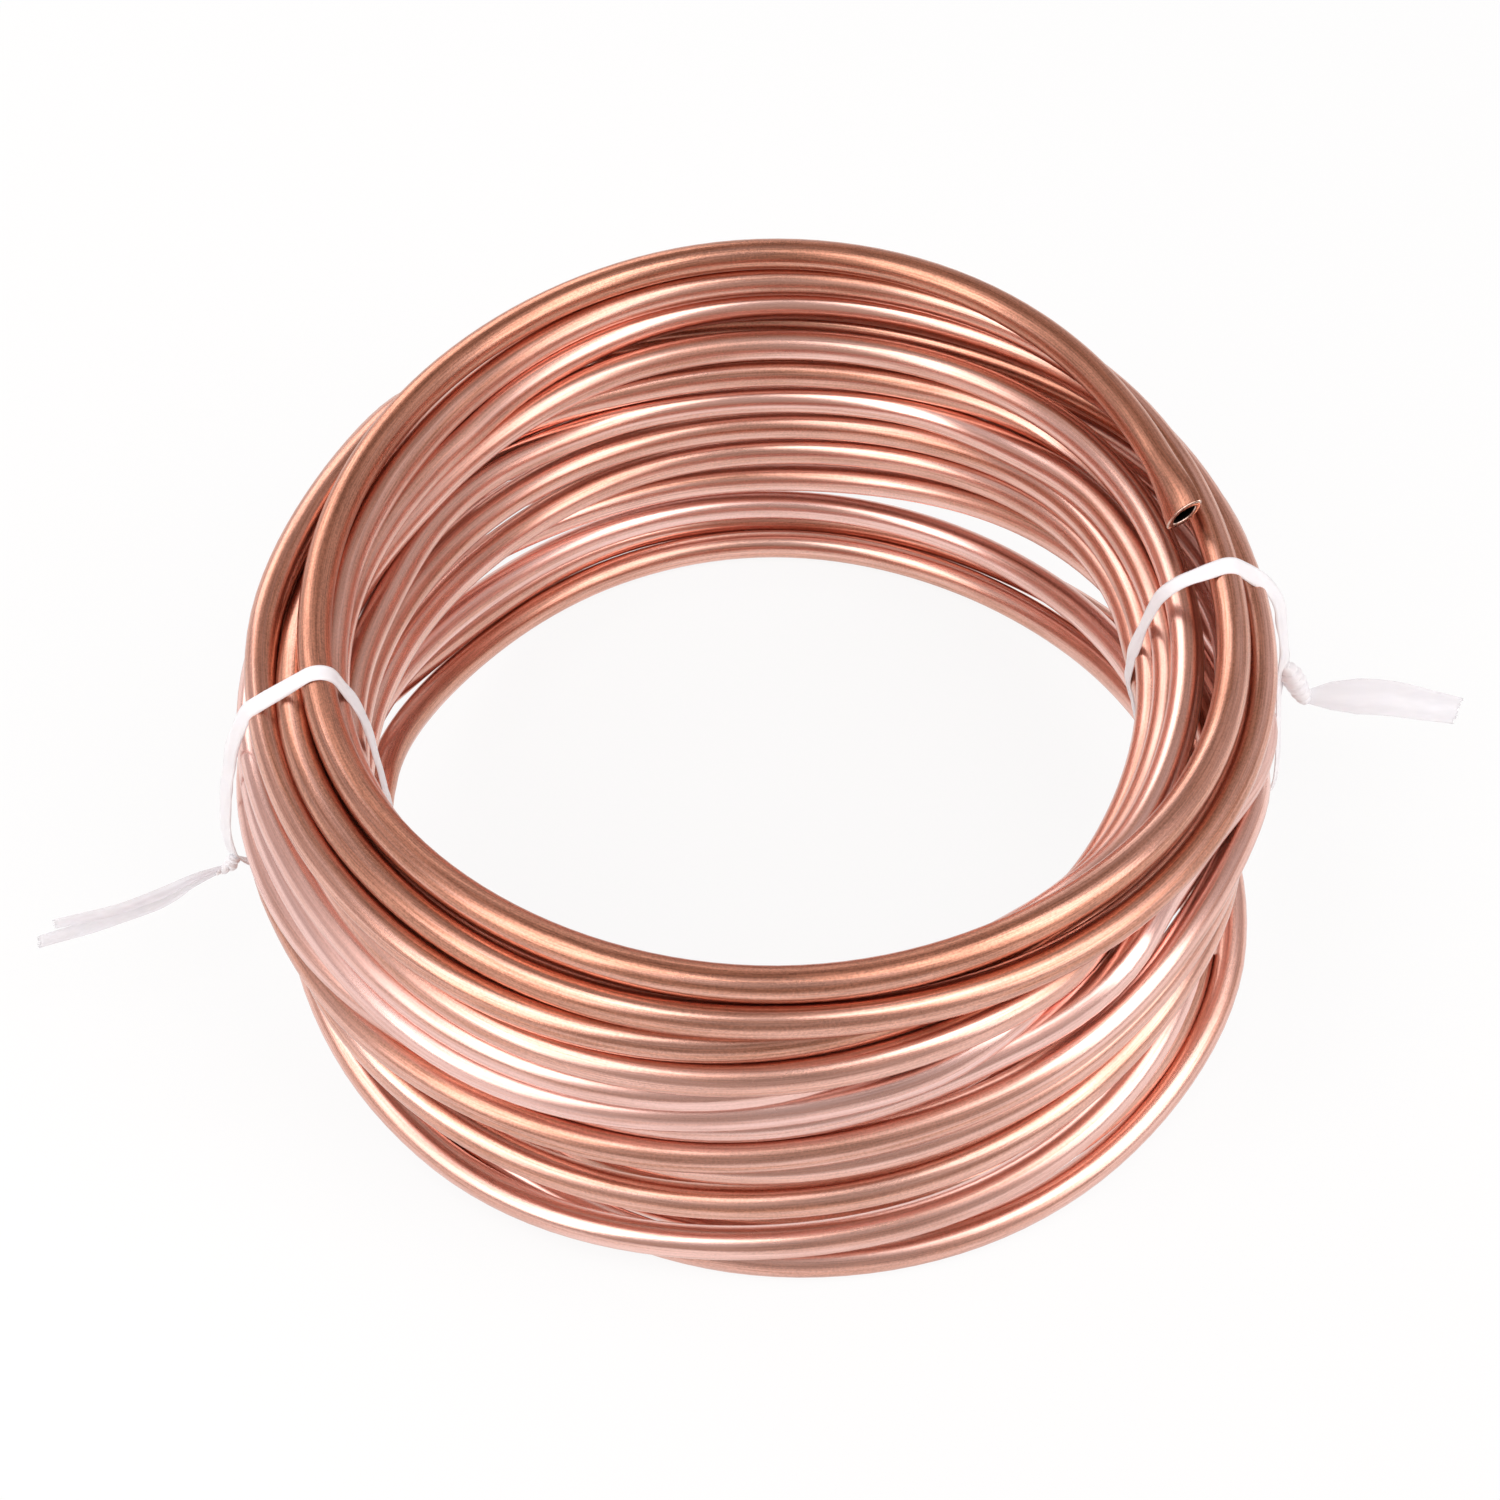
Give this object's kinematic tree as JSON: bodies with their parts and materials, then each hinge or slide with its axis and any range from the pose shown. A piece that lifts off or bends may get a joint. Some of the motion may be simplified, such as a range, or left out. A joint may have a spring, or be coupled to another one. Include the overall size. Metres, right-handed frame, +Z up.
{
  "type": "copper tube coil",
  "caption": "Loose coil of soft copper tube lying flat, with an open pinched end on top, held by ties of twisted plastic film.",
  "frame": {"origin": "on the coil's axis, at the surface that the coil rests on", "axes": "+Z up along the coil's axis, +X towards the side with the free tube end, -Y towards the front"},
  "size_m": [0.2135, 0.1518, 0.0658],
  "materials": {
    "copper": "bright drawn rose copper with fine draw lines",
    "film": "thin translucent white film, creased and twisted"
  },
  "bodies": {
    "root": {"copper_tube": "copper", "tie_left": "film", "tie_right": "film"}
  },
  "joints": []
}
